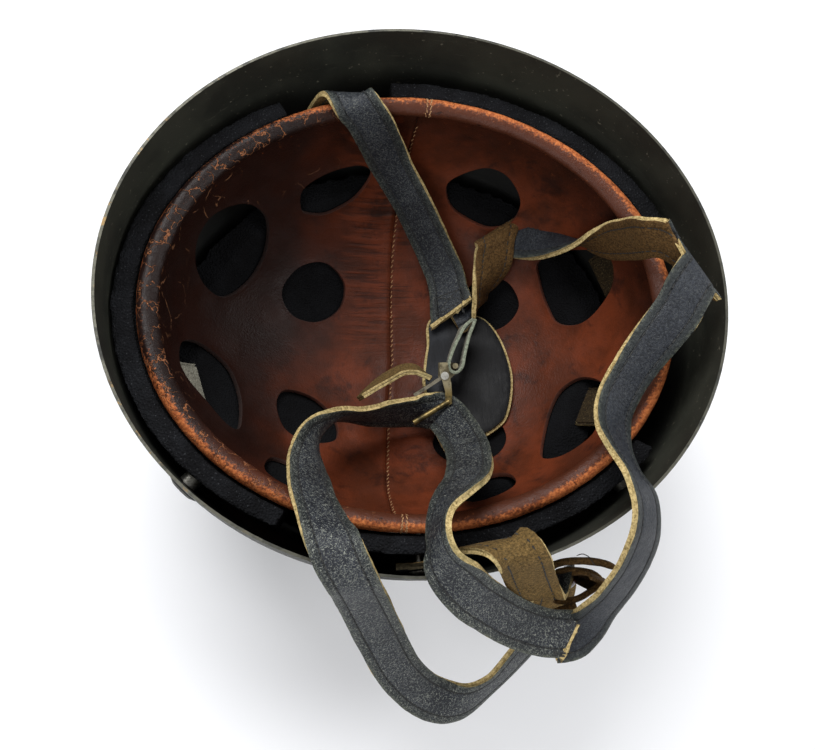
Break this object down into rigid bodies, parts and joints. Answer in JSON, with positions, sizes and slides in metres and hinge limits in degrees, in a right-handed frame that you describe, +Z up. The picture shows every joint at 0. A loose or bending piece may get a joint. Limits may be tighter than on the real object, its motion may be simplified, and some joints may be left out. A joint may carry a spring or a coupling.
{
  "type": "paratrooper helmet",
  "caption": "Brimless steel helmet lying on its crown, with a pierced leather bowl liner, foam round its edge and a leather strap harness with a lever buckle, a button and a flap.",
  "frame": {"origin": "middle of the small flat on the crown, on the upright axis of the bowl", "axes": "+Z up out of the opening, with the helmet on its crown; -X the wearer's front, +X the rear, +Y the wearer's left"},
  "size_m": [0.28, 0.3173, 0.1945],
  "materials": {
    "shell_paint": "matte dark olive paint, worn to bare metal along the rim",
    "band_steel": "dull",
    "brown_leather": "worn, cracked along the edge",
    "black_foam": "open-cell foam rubber",
    "tan_suede": "rough side of the leather",
    "rivet_steel": "worn",
    "strap_leather": "blue-black grain side, flecked with wear",
    "button_maroon": "glossy dark maroon",
    "buckle_steel": "worn"
  },
  "bodies": {
    "helmet": {"shell": "shell_paint", "liner_band": "band_steel", "band_sleeves": "band_steel", "vented_bolts": "shell_paint", "liner_panel_front": "brown_leather", "liner_panel_rear": "brown_leather", "liner_edge_roll": "brown_leather", "foam_front": "black_foam", "foam_right": "black_foam", "foam_left": "black_foam", "crown_pad": "black_foam", "anchor_tab_rear_left": "tan_suede", "anchor_tab_rear_right": "tan_suede", "anchor_tab_front_right": "tan_suede", "tab_rivets": "rivet_steel", "strap_rivets": "rivet_steel", "left_front_strap": "strap_leather", "nape_strap": "strap_leather", "chin_strap": "strap_leather", "joint_wrap": "strap_leather", "buttonhole_tab": "tan_suede", "button_stud": "rivet_steel", "buckle_loop": "tan_suede", "buckle_frame": "buckle_steel", "buckle_pin": "rivet_steel"},
    "buckle_lever": {"buckle_lever": "buckle_steel", "pull_tab": "tan_suede"},
    "button": {"button": "button_maroon"},
    "ear_guard": {"ear_guard_outer": "strap_leather", "ear_guard_lining": "tan_suede"}
  },
  "joints": [
    {"name": "lever_turn", "type": "hinge", "parent": "helmet", "child": "buckle_lever", "pos_m": [0.0248, -0.0159, 0.072], "axis": [0.1267, 0.2546, -0.9587], "range_deg": [0, 45]},
    {"name": "button_spin", "type": "hinge", "parent": "helmet", "child": "button", "pos_m": [0.0642, -0.1261, 0.1208], "axis": [0.3185, -0.9249, 0.2079], "continuous": true},
    {"name": "flap_lift", "type": "hinge", "parent": "helmet", "child": "ear_guard", "pos_m": [0.035, 0.018, 0.0518], "axis": [-0.993, 0, -0.1184], "range_deg": [0, 4.5]}
  ]
}
